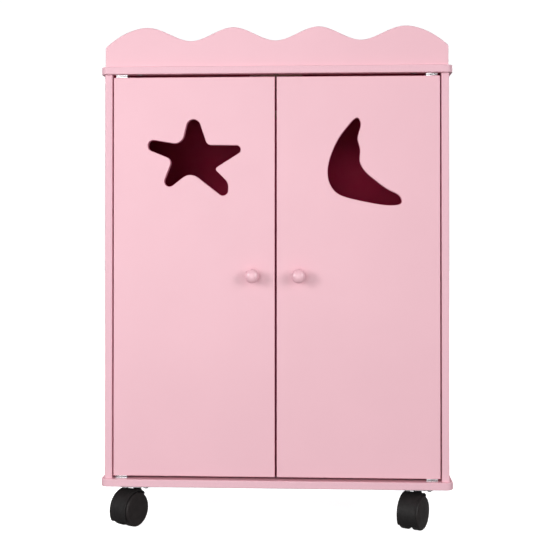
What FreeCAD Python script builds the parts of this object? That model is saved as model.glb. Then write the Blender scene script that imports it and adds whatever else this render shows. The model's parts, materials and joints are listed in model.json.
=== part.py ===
import FreeCAD, Part
import Sketcher
import math
import os
import re

# Doll's wardrobe: a painted board carcass with a wavy crest, two inset doors on pivot hinges and four
# twin-wheel swivel casters. Millimetres. +Z is up and the front faces -Y. The origin is on the floor, at
# the middle of the wardrobe's overall width and depth (the knobs are its foremost point).

SIZES = {
    # boards and panels
    "board_wide": 373,
    "board_deep": 216,
    "panel_thick": 8,
    "overhang": 4,
    "corner_round": 8,
    "edge_soft": 1,
    "opening_tall": 430,
    "back_thick": 3,
    "rebate": 4,
    # crest board
    "crest_wide": 364,
    "crest_thick": 8,
    "crest_shoulder": 21,
    "crest_valley": 27.5,
    "crest_peak": 42,
    "crest_pitch": 90.4,
    "crest_corner": 4,
    # doors
    "gap_side": 1.3,
    "gap_middle": 1.8,
    "gap_end": 3,
    "door_soft": 1,
    "cutout_rise": 336.5,
    "knob_round": 15,
    "knob_dome": 5.5,
    "knob_long": 17,
    "knob_neck": 7.5,
    "knob_from_middle": 24.4,
    "knob_rise": 213,
    # pivot hinges
    "pivot_inset": 6,
    "leaf_thick": 1.2,
    "leaf_long": 12,
    "leaf_start": 3.4,
    "leaf_set_back": 0.8,
    "fixed_leaf_deep": 25,
    "door_leaf_tall": 18,
    "hinge_pin_round": 3,
    "shoulder_round": 5.2,
    "running_gap": 0.05,
    # hanging rail
    "rail_round": 10,
    "rail_drop": 32,
    "socket_flange": 24,
    "socket_cup": 13,
    "socket_deep": 8,
    "flange_thick": 1.5,
    # magnetic catch
    "catch_wide": 40,
    "catch_deep": 12,
    "catch_tall": 15,
    "ear_long": 8,
    "ear_thick": 1.5,
    "magnet_round": 7,
    "magnet_deep": 3,
    "magnet_apart": 24,
    "magnet_drop": 9,
    "strike_round": 10,
    "strike_thick": 1,
    "catch_air": 0.2,
    # casters
    "caster_tall": 43,
    "caster_from_end": 36,
    "caster_from_edge": 21,
    "plate_wide": 32,
    "plate_thick": 1.6,
    "plate_corner": 4,
    "plate_hole": 3.2,
    "plate_hole_apart": 23,
    "trail": 12,
    "wheel_round": 36,
    "wheel_wide": 8.8,
    "wheel_apart": 6,
    "wheel_edge": 1.5,
    "tread_wall": 3,
    "wheel_hub": 8,
    "wheel_face": 2,
    "hood_round": 41,
    "hood_wall": 1.5,
    "hood_wide": 21.2,
    "hood_forward": 50,
    "hood_wrap": 172,
    "web_thick": 4,
    "hood_hub": 10,
    "boss_round": 8,
    "boss_top": 40.5,
    "swivel_pin_round": 4.4,
    "swivel_pin_foot": 35.2,
    "swivel_collar_round": 10,
    "axle_round": 3,
    "axle_long": 19.8,
    # screws and nails: shank and head diameters, head height and length under or with the head
    "carcass_screw_shank": 3.5,
    "carcass_screw_head": 7,
    "carcass_screw_cone": 2.4,
    "carcass_screw_long": 24,
    "small_screw_shank": 2,
    "small_screw_head": 4,
    "small_screw_cone": 1,
    "small_screw_long": 6.5,
    "plate_screw_shank": 2.8,
    "plate_screw_head": 5.2,
    "plate_screw_cap": 1.6,
    "plate_screw_long": 7,
    "knob_screw_shank": 3,
    "knob_screw_head": 6,
    "knob_screw_cap": 1.8,
    "knob_screw_long": 16,
    "nail_shank": 1.2,
    "nail_head": 2.4,
    "nail_cap": 0.5,
    "nail_long": 14,
}

# Plan turn of each caster about its swivel pin, in degrees.
CASTER_TURNS = {
    "front_left": -30,
    "front_right": -27,
    "rear_left": -32,
    "rear_right": -30,
}

# Where screws and nails stand in a row, as shares of the length that they are spread over.
SHARES_ALONG_DEPTH = (0.15, 0.5, 0.85)
SHARES_UP_SIDE = (0.05, 0.275, 0.5, 0.725, 0.95)
SHARES_ALONG_CREST = (-0.4, 0, 0.4)
SHARES_ALONG_FIXED_LEAF = (0.48, 0.84)
SHARES_DOWN_DOOR_LEAF = (0.35, 0.78)

# Millimetres within which two places count as the same.
TOUCH = 1e-4

# Places that many pieces share, written in the sheet's names.
FRONT = "((knob_long - overhang - board_deep) / 2)"
FACE = f"({FRONT} + overhang)"
BACK = f"({FRONT} + board_deep)"
BASE_TOP = "(caster_tall + panel_thick)"
LID = f"({BASE_TOP} + opening_tall)"
CARCASS_WIDE = "(board_wide - 2 * overhang)"
OPENING_WIDE = f"({CARCASS_WIDE} - 2 * panel_thick)"
CARCASS_DEEP = "(board_deep - overhang)"
DOOR_WIDE = f"(({OPENING_WIDE} - 2 * gap_side - gap_middle) / 2)"
DOOR_TALL = "(opening_tall - 2 * gap_end)"
DOOR_FOOT = f"({BASE_TOP} + gap_end)"
PIVOT_X = f"({OPENING_WIDE} / 2 - gap_side - pivot_inset)"
PIVOT_Y = f"({FACE} + panel_thick / 2)"

# Direction that a screw, pin or cylinder points in, as a turn of +Z.
POINTING = {
    "up": FreeCAD.Rotation(),
    "down": FreeCAD.Rotation(FreeCAD.Vector(1, 0, 0), 180),
    "forward": FreeCAD.Rotation(FreeCAD.Vector(1, 0, 0), 90),
    "backward": FreeCAD.Rotation(FreeCAD.Vector(1, 0, 0), -90),
    "right": FreeCAD.Rotation(FreeCAD.Vector(0, 1, 0), 90),
    "left": FreeCAD.Rotation(FreeCAD.Vector(0, 1, 0), -90),
}

doc = FreeCAD.newDocument("wardrobe")
sheet = doc.addObject("Spreadsheet::Sheet", "Sizes")
for row, (alias, value) in enumerate(SIZES.items(), start=1):
    sheet.set(f"A{row}", alias)
    sheet.set(f"B{row}", str(value))
    sheet.setAlias(f"B{row}", alias)
doc.recompute()

pieces = []


# ---- general helpers ----


def formula(text):
    """The text as an expression, with each name of the sheet looked up there."""
    text = str(text)
    return re.sub(r"[a-z_]+", lambda word: f"Sizes.{word[0]}" if word[0] in SIZES else word[0], text)


def bind(thing, **sizes):
    for name, text in sizes.items():
        thing.setExpression(name, formula(text))


def place(thing, at, pointing="up"):
    """Puts a thing at a position given as three formulas, turned so that its +Z points as named."""
    thing.Placement = FreeCAD.Placement(FreeCAD.Vector(), POINTING[pointing])
    for axis, text in zip("xyz", at):
        thing.setExpression(f"Placement.Base.{axis}", formula(text))


def keep(thing, label):
    """Marks a thing as a finished sub-part, to be written under its label."""
    thing.Label = label
    pieces.append(thing)
    return thing


def box(name, wide, deep, tall, at):
    result = doc.addObject("Part::Box", name)
    bind(result, Length=wide, Width=deep, Height=tall)
    place(result, at)
    return result


def cylinder(name, across, length, at, pointing="up"):
    result = doc.addObject("Part::Cylinder", name)
    bind(result, Radius=f"({across}) / 2", Height=length)
    place(result, at, pointing)
    return result


def fuse(name, shapes):
    result = doc.addObject("Part::MultiFuse", name)
    result.Shapes = shapes
    return result


def cut(name, base, tools):
    result = doc.addObject("Part::Cut", name)
    result.Base = base
    result.Tool = tools[0] if len(tools) == 1 else fuse(f"{name}_cutters", tools)
    return result


def group(name, things):
    result = doc.addObject("Part::Compound", name)
    result.Links = things
    return result


# ---- helpers for bodies made from sketches ----


def body(name):
    return doc.addObject("PartDesign::Body", name)


def sketch_on(owner, role, name, offset=("0", "0", "0")):
    """A sketch on one of the body's origin planes, shifted by three formulas in the sketch's own axes."""
    result = owner.newObject("Sketcher::SketchObject", name)
    planes = [feature for feature in owner.Origin.OriginFeatures if feature.Role == role]
    result.AttachmentSupport = [(planes[0], "")]
    result.MapMode = "FlatFace"
    for axis, text in zip("xyz", offset):
        result.setExpression(f"AttachmentOffset.Base.{axis}", formula(text))
    return result


def name_last(sketch, name, size):
    """Names the sketch's last constraint and binds it to a formula."""
    sketch.renameConstraint(sketch.ConstraintCount - 1, name)
    sketch.setExpression(f"Constraints.{name}", formula(size))


def add_rectangle(sketch, wide, tall):
    """A rectangle centred on the sketch's origin, held by its width and height."""
    corners = [FreeCAD.Vector(x, y) for x, y in ((-10, -10), (10, -10), (10, 10), (-10, 10))]
    for index in range(4):
        sketch.addGeometry(Part.LineSegment(corners[index], corners[(index + 1) % 4]))
    for index in range(4):
        sketch.addConstraint(Sketcher.Constraint("Coincident", index, 2, (index + 1) % 4, 1))
        sketch.addConstraint(Sketcher.Constraint("Vertical" if index % 2 else "Horizontal", index))
    sketch.addConstraint(Sketcher.Constraint("Symmetric", 0, 1, 1, 2, -1, 1))
    sketch.addConstraint(Sketcher.Constraint("DistanceX", 0, 1, 0, 2, 20))
    name_last(sketch, "wide", wide)
    sketch.addConstraint(Sketcher.Constraint("DistanceY", 1, 1, 1, 2, 20))
    name_last(sketch, "tall", tall)


def add_circle(sketch, across, name="across"):
    """A circle about the sketch's origin, held by its diameter."""
    centre = FreeCAD.Vector()
    index = sketch.addGeometry(Part.Circle(centre, FreeCAD.Vector(0, 0, 1), 5))
    sketch.addConstraint(Sketcher.Constraint("Coincident", index, 3, -1, 1))
    sketch.addConstraint(Sketcher.Constraint("Diameter", index, 10))
    name_last(sketch, name, across)


def pad(owner, sketch, length, both_ways=False, reverse=False):
    result = owner.newObject("PartDesign::Pad", "Pad")
    result.Profile = sketch
    result.Midplane = both_ways
    result.Reversed = reverse
    bind(result, Length=length)
    doc.recompute()
    return result


def pocket(owner, sketch, length=None, reverse=False):
    """Cuts the sketch into the body, all the way through where no length is given."""
    before = owner.Shape.Volume
    result = owner.newObject("PartDesign::Pocket", "Pocket")
    result.Profile = sketch
    if length is None:
        result.Type = "ThroughAll"
        result.Midplane = True
    else:
        result.Reversed = reverse
        bind(result, Length=length)
    doc.recompute()
    if not owner.Shape.Volume < before:
        raise RuntimeError(f"{owner.Label}: {sketch.Label} cuts nothing")
    return result


def soften(owner, radius, chosen):
    """Rounds the edges of the body that the chosen test picks."""
    tip = owner.Tip
    names = [f"Edge{n}" for n, edge in enumerate(tip.Shape.Edges, start=1) if chosen(edge)]
    result = owner.newObject("PartDesign::Fillet", "Fillet")
    result.Base = (tip, names)
    bind(result, Radius=radius)
    doc.recompute()
    return result


def runs_along(edge, axis):
    """True for a straight edge parallel to the axis 0, 1 or 2."""
    bounds = edge.BoundBox
    spans = (bounds.XLength, bounds.YLength, bounds.ZLength)
    return spans[axis] > edge.Length - TOUCH


def lies_at(edge, axis, value):
    """True for an edge that lies wholly in the plane across the axis at the value."""
    bounds = edge.BoundBox
    low = (bounds.XMin, bounds.YMin, bounds.ZMin)[axis]
    high = (bounds.XMax, bounds.YMax, bounds.ZMax)[axis]
    return abs(low - value) < TOUCH and abs(high - value) < TOUCH


def size(alias):
    return float(sheet.get(alias))


# ---- screws, nails and pins ----


def countersunk_screw(name, kind, at, pointing):
    """A screw whose head is flush with the plane at the given place and whose shank points onward."""
    head = doc.addObject("Part::Cone", f"{name}_head")
    bind(head, Radius1=f"{kind}_head / 2", Radius2=f"{kind}_shank / 2", Height=f"{kind}_cone")
    shank = cylinder(f"{name}_shank", f"{kind}_shank", f"{kind}_long", ("0", "0", "0"))
    result = fuse(name, [head, shank])
    place(result, at, pointing)
    return result


def capped_screw(name, kind, at, pointing):
    """A screw or nail whose head stands back from the given place and whose shank points onward."""
    head = cylinder(f"{name}_head", f"{kind}_head", f"{kind}_cap", ("0", "0", f"-{kind}_cap"))
    shank = cylinder(f"{name}_shank", f"{kind}_shank", f"{kind}_long", ("0", "0", "0"))
    result = fuse(name, [head, shank])
    place(result, at, pointing)
    return result


def screw_row(name, kind, places, pointing, maker=countersunk_screw):
    return [maker(f"{name}_{n}", kind, at, pointing) for n, at in enumerate(places, start=1)]


# ---- fasteners of the carcass ----

SIDE_MIDDLE = f"({CARCASS_WIDE} / 2 - panel_thick / 2)"
SCREW_ROWS = [f"({FRONT} + board_deep * {share})" for share in SHARES_ALONG_DEPTH]

base_screws = screw_row(
    "base_screw",
    "carcass_screw",
    [(f"{sign} * {SIDE_MIDDLE}", y, "caster_tall") for sign in (-1, 1) for y in SCREW_ROWS],
    "up",
)
top_screws = screw_row(
    "top_screw",
    "carcass_screw",
    [(f"{sign} * {SIDE_MIDDLE}", y, f"{LID} + panel_thick") for sign in (-1, 1) for y in SCREW_ROWS],
    "down",
)
crest_screws = screw_row(
    "crest_screw",
    "carcass_screw",
    [(f"crest_wide * {share}", f"{FACE} + crest_thick / 2", LID) for share in SHARES_ALONG_CREST],
    "up",
)
NAIL_X = f"({OPENING_WIDE} / 2 + rebate / 2)"
back_nails = screw_row(
    "back_nail",
    "nail",
    [
        (f"{sign} * {NAIL_X}", BACK, f"{BASE_TOP} + opening_tall * {share}")
        for sign in (-1, 1)
        for share in SHARES_UP_SIDE
    ],
    "forward",
    capped_screw,
)
for nail in back_nails:
    # the nail heads are driven flush with the back
    nail.setExpression("Placement.Base.y", formula(f"{BACK} - nail_cap"))

keep(group("base_board_screws", base_screws), "base_board_screws")
keep(group("top_board_screws", top_screws), "top_board_screws")
keep(group("crest_board_screws", crest_screws), "crest_board_screws")
keep(group("back_panel_nails", back_nails), "back_panel_nails")


# ---- hanging rail ----

RAIL_Y = f"(({FACE} + {BACK}) / 2)"
RAIL_Z = f"({LID} - rail_drop)"

rail = cylinder(
    "hanging_rail", "rail_round", OPENING_WIDE, (f"-{OPENING_WIDE} / 2", RAIL_Y, RAIL_Z), "right"
)
keep(rail, "hanging_rail")

socket_screws = {}
for side, sign, inward in (("left", -1, "right"), ("right", 1, "left")):
    wall = f"{sign} * {OPENING_WIDE} / 2"
    outward = "left" if inward == "right" else "right"
    ring = "(socket_flange + socket_cup) / 4"
    places = [(f"{wall} - {sign} * flange_thick", RAIL_Y, f"{RAIL_Z} + {way} * {ring}") for way in (-1, 1)]
    socket_screws[side] = screw_row(f"{side}_socket_screw", "small_screw", places, outward)
    flange = cylinder(f"{side}_flange", "socket_flange", "flange_thick", (wall, RAIL_Y, RAIL_Z), inward)
    cup = cylinder(f"{side}_cup", "socket_cup", "socket_deep", (wall, RAIL_Y, RAIL_Z), inward)
    bore = cylinder(f"{side}_socket_bore", "rail_round", "socket_deep", (wall, RAIL_Y, RAIL_Z), inward)
    solid = fuse(f"{side}_socket_solid", [flange, cup])
    keep(cut(f"{side}_rail_socket", solid, [bore] + socket_screws[side]), f"{side}_rail_socket")


# ---- magnetic catch on the underside of the top board ----

STRIKE_BACK = f"({FACE} + panel_thick + strike_thick)"
CATCH_FACE = f"({STRIKE_BACK} + catch_air)"

catch_block = box(
    "catch_block",
    "catch_wide",
    "catch_deep",
    "catch_tall",
    ("-catch_wide / 2", CATCH_FACE, f"{LID} - catch_tall"),
)
catch_ears = box(
    "catch_ears",
    "catch_wide + 2 * ear_long",
    "catch_deep",
    "ear_thick",
    ("-catch_wide / 2 - ear_long", CATCH_FACE, f"{LID} - ear_thick"),
)
magnets = [
    cylinder(
        f"magnet_{n}",
        "magnet_round",
        "magnet_deep",
        (f"{sign} * magnet_apart / 2", CATCH_FACE, f"{LID} - magnet_drop"),
        "backward",
    )
    for n, sign in enumerate((-1, 1), start=1)
]
catch_screws = screw_row(
    "catch_screw",
    "small_screw",
    [
        (
            f"{sign} * (catch_wide + ear_long) / 2",
            f"{CATCH_FACE} + catch_deep / 2",
            f"{LID} - ear_thick",
        )
        for sign in (-1, 1)
    ],
    "up",
)
catch_solid = fuse("catch_solid", [catch_block, catch_ears])
keep(cut("magnetic_catch", catch_solid, magnets + catch_screws), "magnetic_catch")
keep(group("catch_magnets", magnets), "catch_magnets")
fitting_screws = catch_screws + socket_screws["left"] + socket_screws["right"]
keep(group("fitting_screws", fitting_screws), "fitting_screws")


# ---- pivot hinges ----
# Each is modelled about its pin, with the end of the door at zero height and the gap above it. A hinge at
# the foot of a door is the same thing turned over about the front-to-back axis.

LEAF_FRONT = "(leaf_set_back - panel_thick / 2)"


def leaf_box(name, toward, deep, tall, front, low):
    """A plate beside the pin, reaching to the side that toward gives as 1 or -1."""
    start = "-leaf_start" if toward > 0 else "(leaf_start - leaf_long)"
    return box(name, "leaf_long", deep, tall, (start, front, low))


def set_on_hinge(thing, side, level):
    """Places a hinge part on its door's pivot, at the head or the foot of the door."""
    sign = -1 if side == "left" else 1
    if level == "upper":
        place(thing, (f"{sign} * {PIVOT_X}", PIVOT_Y, f"{LID} - gap_end"))
    else:
        place(thing, (f"{sign} * {PIVOT_X}", PIVOT_Y, DOOR_FOOT))
        thing.Placement.Rotation = FreeCAD.Rotation(FreeCAD.Vector(0, 1, 0), 180)


def hinge(side, level):
    """Adds the two leaves of one hinge and returns its fixed screws, door screws and pin."""
    name = f"{side}_{level}"
    to_door_middle = 1 if side == "left" else -1
    toward = to_door_middle if level == "upper" else -to_door_middle
    screw_x = f"{toward} * (leaf_long / 2 - leaf_start)"

    fixed_places = [(screw_x, f"{LEAF_FRONT} + fixed_leaf_deep * {share}", "gap_end - leaf_thick")
                    for share in SHARES_ALONG_FIXED_LEAF]
    fixed_screws = screw_row(f"{name}_fixed_screw", "small_screw", fixed_places, "up")
    door_places = [(screw_x, "panel_thick / 2 + leaf_thick", f"-door_leaf_tall * {share}")
                   for share in SHARES_DOWN_DOOR_LEAF]
    door_screws = screw_row(f"{name}_door_screw", "small_screw", door_places, "forward")

    fixed = leaf_box(f"{name}_fixed_plate", toward, "fixed_leaf_deep", "leaf_thick", LEAF_FRONT,
                     "gap_end - leaf_thick")
    hole = cylinder(f"{name}_pin_hole", "hinge_pin_round + 2 * running_gap", "gap_end", ("0", "0", "0"))
    fixed_leaf = cut(f"{name}_fixed_leaf", fixed, [hole] + fixed_screws)

    tab = leaf_box(f"{name}_tab", toward, "panel_thick + leaf_thick - leaf_set_back", "leaf_thick",
                   LEAF_FRONT, "0")
    drop = leaf_box(f"{name}_drop", toward, "leaf_thick", "door_leaf_tall + leaf_thick",
                    "panel_thick / 2", "-door_leaf_tall")
    seat = cylinder(f"{name}_pin_seat", "hinge_pin_round", "leaf_thick", ("0", "0", "0"))
    angle = fuse(f"{name}_angle", [tab, drop])
    door_leaf = cut(f"{name}_door_leaf", angle, [seat] + door_screws)

    shaft = cylinder(f"{name}_pin_shaft", "hinge_pin_round", "gap_end - running_gap", ("0", "0", "0"))
    shoulder = cylinder(f"{name}_pin_shoulder", "shoulder_round",
                        "gap_end - 2 * leaf_thick - running_gap", ("0", "0", "leaf_thick"))
    pin = fuse(f"{name}_pin", [shaft, shoulder])

    set_on_hinge(fixed_leaf, side, level)
    set_on_hinge(door_leaf, side, level)
    set_on_hinge(pin, side, level)
    keep(fixed_leaf, f"{name}_fixed_leaf")
    keep(door_leaf, f"{name}_door_leaf")
    fixed_group = group(f"{name}_fixed_screws", fixed_screws)
    door_group = group(f"{name}_door_screws", door_screws)
    set_on_hinge(fixed_group, side, level)
    set_on_hinge(door_group, side, level)
    return fixed_group, door_group, pin


fixed_leaf_screws = {}
door_leaf_screws = {}
for side in ("left", "right"):
    pins = []
    for level in ("upper", "lower"):
        in_cabinet, in_door, pin = hinge(side, level)
        fixed_leaf_screws[side, level] = in_cabinet
        door_leaf_screws[side, level] = in_door
        pins.append(pin)
    keep(group(f"{side}_hinge_pins", pins), f"{side}_hinge_pins")
keep(group("fixed_leaf_screws", list(fixed_leaf_screws.values())), "fixed_leaf_screws")


# ---- doors ----

# Corners of the star cut-out: across, up and corner radius, from the middle of the door's width.
STAR = [
    (-2, 62, 7.5),
    (14, 15, 6),
    (60.5, 14.5, 4.5),
    (21.5, -10, 3),
    (36.5, -25, 10.5),
    (36, -44, 5.5),
    (-4, -13, 13),
    (-38.5, -40, 5.5),
    (-23, 0, 6.5),
    (-49, 10.5, 5),
    (-49.5, 21.5, 5.5),
    (-13, 15.5, 10.5),
]

# Points that the crescent's closed curve runs through, from its upper tip down the inner edge, round the
# lower tip and back up the outer edge.
MOON = [
    (1, 42),
    (2.5, 38),
    (-0.5, 21.5),
    (2, 9.5),
    (1.5, -1),
    (5.5, -11),
    (17.5, -22.5),
    (35, -34.5),
    (44.5, -41),
    (45.5, -46),
    (37, -49),
    (19.5, -47.5),
    (-7, -42),
    (-23.5, -35),
    (-30, -25.5),
    (-32, -13.5),
    (-29, 2.5),
    (-21, 20.5),
    (-10, 35.5),
]


def add_rounded_outline(sketch, corners):
    """A closed outline of straight sides joined by tangent arcs at the corners."""
    starts = []
    ends = []
    arcs = []
    for index, (x, y, radius) in enumerate(corners):
        corner = FreeCAD.Vector(x, y)
        before = (FreeCAD.Vector(*corners[index - 1][:2]) - corner).normalize()
        after = (FreeCAD.Vector(*corners[(index + 1) % len(corners)][:2]) - corner).normalize()
        half = before.getAngle(after) / 2
        reach = radius / math.tan(half)
        inward = (before + after).normalize()
        starts.append(corner + before * reach)
        ends.append(corner + after * reach)
        arcs.append(corner + inward * (radius / math.sin(half) - radius))
    for index, start in enumerate(starts):
        sketch.addGeometry(Part.Arc(start, arcs[index], ends[index]))
        sketch.addGeometry(Part.LineSegment(ends[index], starts[(index + 1) % len(starts)]))


def add_closed_curve(sketch, points):
    curve = Part.BSplineCurve()
    curve.interpolate(Points=[FreeCAD.Vector(x, y) for x, y in points], PeriodicFlag=True)
    sketch.addGeometry(curve)


def strike_screw(side, sign):
    at = (f"{sign} * magnet_apart / 2", STRIKE_BACK, f"{LID} - magnet_drop")
    return countersunk_screw(f"{side}_strike_screw", "small_screw", at, "forward")


def door(side, sign, add_cutout):
    """One door with its knob, strike and screws. Sign is -1 for the left door and 1 for the right."""
    knob_at = (f"{sign} * knob_from_middle", FACE, f"{DOOR_FOOT} + knob_rise")
    knob_screw = capped_screw(f"{side}_knob_screw_solid", "knob_screw",
                              (knob_at[0], f"{FACE} + panel_thick", knob_at[2]), "forward")
    keep(knob_screw, f"{side}_knob_screw")
    in_strike = strike_screw(side, sign)
    strike = cylinder(f"{side}_strike_disc", "strike_round", "strike_thick",
                      (f"{sign} * magnet_apart / 2", STRIKE_BACK, f"{LID} - magnet_drop"), "forward")
    keep(cut(f"{side}_strike", strike, [in_strike]), f"{side}_strike")

    leaf_screws = [door_leaf_screws[side, level] for level in ("upper", "lower")]
    keep(group(f"{side}_door_screws", leaf_screws + [in_strike]), f"{side}_door_screws")

    panel = body(f"{side}_door_panel")
    middle = f"{-sign} * ({DOOR_WIDE} / 2 - pivot_inset)"
    outline = sketch_on(panel, "XZ_Plane", f"{side}_door_outline", (middle, f"{DOOR_TALL} / 2", "0"))
    add_rectangle(outline, DOOR_WIDE, DOOR_TALL)
    pad(panel, outline, "panel_thick", both_ways=True)
    cutout = sketch_on(panel, "XZ_Plane", f"{side}_door_cutout", (middle, "cutout_rise", "0"))
    add_cutout(cutout)
    pocket(panel, cutout)
    half = size("panel_thick") / 2
    soften(panel, "door_soft", lambda edge: lies_at(edge, 1, -half) or lies_at(edge, 1, half))
    place(panel, (f"{sign} * {PIVOT_X}", PIVOT_Y, DOOR_FOOT))
    keep(cut(f"{side}_door", panel, leaf_screws + [in_strike, knob_screw]), f"{side}_door")

    head = doc.addObject("Part::Ellipsoid", f"{side}_knob_head")
    bind(head, Radius1="knob_dome", Radius2="knob_round / 2", Radius3="knob_round / 2")
    place(head, (knob_at[0], f"{FACE} - knob_long + knob_dome", knob_at[2]), "forward")
    neck = cylinder(f"{side}_knob_neck", "knob_neck", "knob_long - knob_dome", knob_at, "forward")
    solid = fuse(f"{side}_knob_solid", [head, neck])
    keep(cut(f"{side}_knob", solid, [knob_screw]), f"{side}_knob")


door("left", -1, lambda sketch: add_rounded_outline(sketch, STAR))
door("right", 1, lambda sketch: add_closed_curve(sketch, MOON))


# ---- casters ----
# Every piece of a caster is modelled about its swivel pin, with the floor at zero height and the wheels
# trailing towards -Y.

CENTRE_Z = "wheel_round / 2"


def stand_caster(thing, corner, turned=True):
    """Places a caster's piece at its corner of the wardrobe, turned about the swivel pin."""
    along = f"(board_wide / 2 - caster_from_end)"
    x = f"-{along}" if corner.endswith("left") else along
    y = f"{FRONT} + caster_from_edge" if corner.startswith("front") else f"{BACK} - caster_from_edge"
    angle = CASTER_TURNS[corner] if turned else 0
    place(thing, (x, y, "0"))
    thing.Placement.Rotation = FreeCAD.Rotation(FreeCAD.Vector(0, 0, 1), angle)


def caster_plate(corner):
    plate = body(f"{corner}_plate_solid")
    outline = sketch_on(plate, "XY_Plane", f"{corner}_plate_outline", ("0", "0", "caster_tall - plate_thick"))
    add_rectangle(outline, "plate_wide", "plate_wide")
    pad(plate, outline, "plate_thick")
    soften(plate, "plate_corner", lambda edge: runs_along(edge, 2))
    centre_hole = sketch_on(plate, "XY_Plane", f"{corner}_plate_centre")
    add_circle(centre_hole, "swivel_pin_round")
    pocket(plate, centre_hole)
    for n, (x, y) in enumerate(((-1, -1), (-1, 1), (1, -1), (1, 1)), start=1):
        offset = (f"{x} * plate_hole_apart / 2", f"{y} * plate_hole_apart / 2", "0")
        hole = sketch_on(plate, "XY_Plane", f"{corner}_plate_hole_{n}", offset)
        add_circle(hole, "plate_hole")
        pocket(plate, hole)
    stand_caster(plate, corner, turned=False)
    keep(plate, f"{corner}_caster_plate")


def caster_screws(corner):
    places = [
        (f"{x} * plate_hole_apart / 2", f"{y} * plate_hole_apart / 2", "caster_tall - plate_thick")
        for x in (-1, 1)
        for y in (-1, 1)
    ]
    result = group(f"{corner}_plate_screws",
                   screw_row(f"{corner}_plate_screw", "plate_screw", places, "up", capped_screw))
    stand_caster(result, corner, turned=False)
    return result


def swivel_pin(corner):
    shaft = cylinder(f"{corner}_swivel_shaft", "swivel_pin_round", "caster_tall - swivel_pin_foot",
                     ("0", "0", "swivel_pin_foot"))
    collar = cylinder(f"{corner}_swivel_collar", "swivel_collar_round",
                      "caster_tall - plate_thick - boss_top - 2 * running_gap",
                      ("0", "0", "boss_top + 2 * running_gap"))
    result = fuse(f"{corner}_swivel_pin", [shaft, collar])
    stand_caster(result, corner, turned=False)
    return result


def across_caster(name, across, length, start_x=None):
    """A cylinder on the axle's line, centred across the caster unless its start is given."""
    start = f"-({length}) / 2" if start_x is None else start_x
    return cylinder(name, across, length, (start, "-trail", CENTRE_Z), "right")


def hood_sector(name, across, length):
    """Part of a cylinder on the axle's line, wrapped from the swivel pin over the top to the trailing side."""
    result = across_caster(name, across, length)
    bind(result, Angle="hood_wrap")
    # a cylinder laid along X starts its sweep at the floor side, so it is turned to start near the pin
    result.Placement.Rotation = FreeCAD.Rotation(FreeCAD.Vector(1, 0, 0), 90 - size("hood_forward")).multiply(
        POINTING["right"]
    ).multiply(FreeCAD.Rotation(FreeCAD.Vector(0, 0, 1), 90))
    return result


def caster_hood(corner):
    over = hood_sector(f"{corner}_hood_outside", "hood_round", "hood_wide")
    boss = cylinder(f"{corner}_hood_boss", "boss_round", f"boss_top - {CENTRE_Z}", ("0", "0", CENTRE_Z))
    outside = fuse(f"{corner}_hood_blank", [over, boss])
    hollow = across_caster(f"{corner}_hood_hollow", "hood_round - 2 * hood_wall", "hood_round")
    shell = cut(f"{corner}_hood_shell", outside, [hollow])
    web = hood_sector(f"{corner}_hood_web", "hood_round - hood_wall", "web_thick")
    hub = across_caster(f"{corner}_hood_hub", "hood_hub", "web_thick")
    solid = fuse(f"{corner}_hood_solid", [shell, web, hub])
    pin_bore = cylinder(f"{corner}_hood_bore", "swivel_pin_round + 2 * running_gap", "caster_tall",
                        ("0", "0", "swivel_pin_foot - 2 * running_gap"))
    axle_seat = across_caster(f"{corner}_axle_seat", "axle_round", "hood_wide")
    result = cut(f"{corner}_hood", solid, [pin_bore, axle_seat])
    stand_caster(result, corner)
    keep(result, f"{corner}_caster_hood")


def caster_axle(corner):
    rod = across_caster(f"{corner}_axle_rod", "axle_round", "axle_long")
    result = group(f"{corner}_axle", [rod])
    stand_caster(result, corner)
    keep(result, f"{corner}_caster_axle")


def caster_wheel(corner, side):
    """A cup-shaped wheel, open towards the hood's web, with a blind bore for the axle."""
    sign = -1 if side == "left" else 1
    wheel = body(f"{corner}_{side}_wheel_solid")
    offset = ("-trail", CENTRE_Z, f"{sign} * wheel_apart / 2")

    def ring(name, *sizes):
        result = sketch_on(wheel, "YZ_Plane", f"{corner}_{side}_{name}", offset)
        for n, across in enumerate(sizes):
            add_circle(result, across, f"across_{n}")
        return result

    inward = sign < 0
    pad(wheel, ring("tread", "wheel_round"), "wheel_wide", reverse=inward)
    outer = sign * (size("wheel_apart") / 2 + size("wheel_wide"))
    soften(wheel, "wheel_edge", lambda edge: lies_at(edge, 0, outer))
    cup = ring("cup", "wheel_round - 2 * tread_wall", "wheel_hub")
    pocket(wheel, cup, "wheel_wide - wheel_face", reverse=not inward)
    bore = ring("bore", "axle_round + 2 * running_gap")
    pocket(wheel, bore, "axle_long / 2 - wheel_apart / 2 + 2 * running_gap", reverse=not inward)
    stand_caster(wheel, corner)
    keep(wheel, f"{corner}_caster_{side}_wheel")


plate_screws = []
swivel_pins = []
for corner in CASTER_TURNS:
    plate_screws.append(caster_screws(corner))
    swivel_pins.append(swivel_pin(corner))
    caster_plate(corner)
    caster_hood(corner)
    caster_axle(corner)
    caster_wheel(corner, "left")
    caster_wheel(corner, "right")
keep(group("caster_plate_screws", plate_screws), "caster_plate_screws")
keep(group("caster_swivel_pins", swivel_pins), "caster_swivel_pins")


# ---- boards and panels ----


def board(name, low, tools):
    """The base or the top board: rounded at the front corners, softened all round."""
    blank = body(f"{name}_blank")
    outline = sketch_on(blank, "XY_Plane", f"{name}_outline")
    add_rectangle(outline, "board_wide", "board_deep")
    pad(blank, outline, "panel_thick")
    front = -size("board_deep") / 2
    soften(blank, "corner_round", lambda edge: runs_along(edge, 2) and lies_at(edge, 1, front))
    thick = size("panel_thick")
    soften(blank, "edge_soft", lambda edge: lies_at(edge, 2, 0) or lies_at(edge, 2, thick))
    place(blank, ("0", f"({FRONT} + {BACK}) / 2", low))
    keep(cut(name, blank, tools), name)


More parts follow.
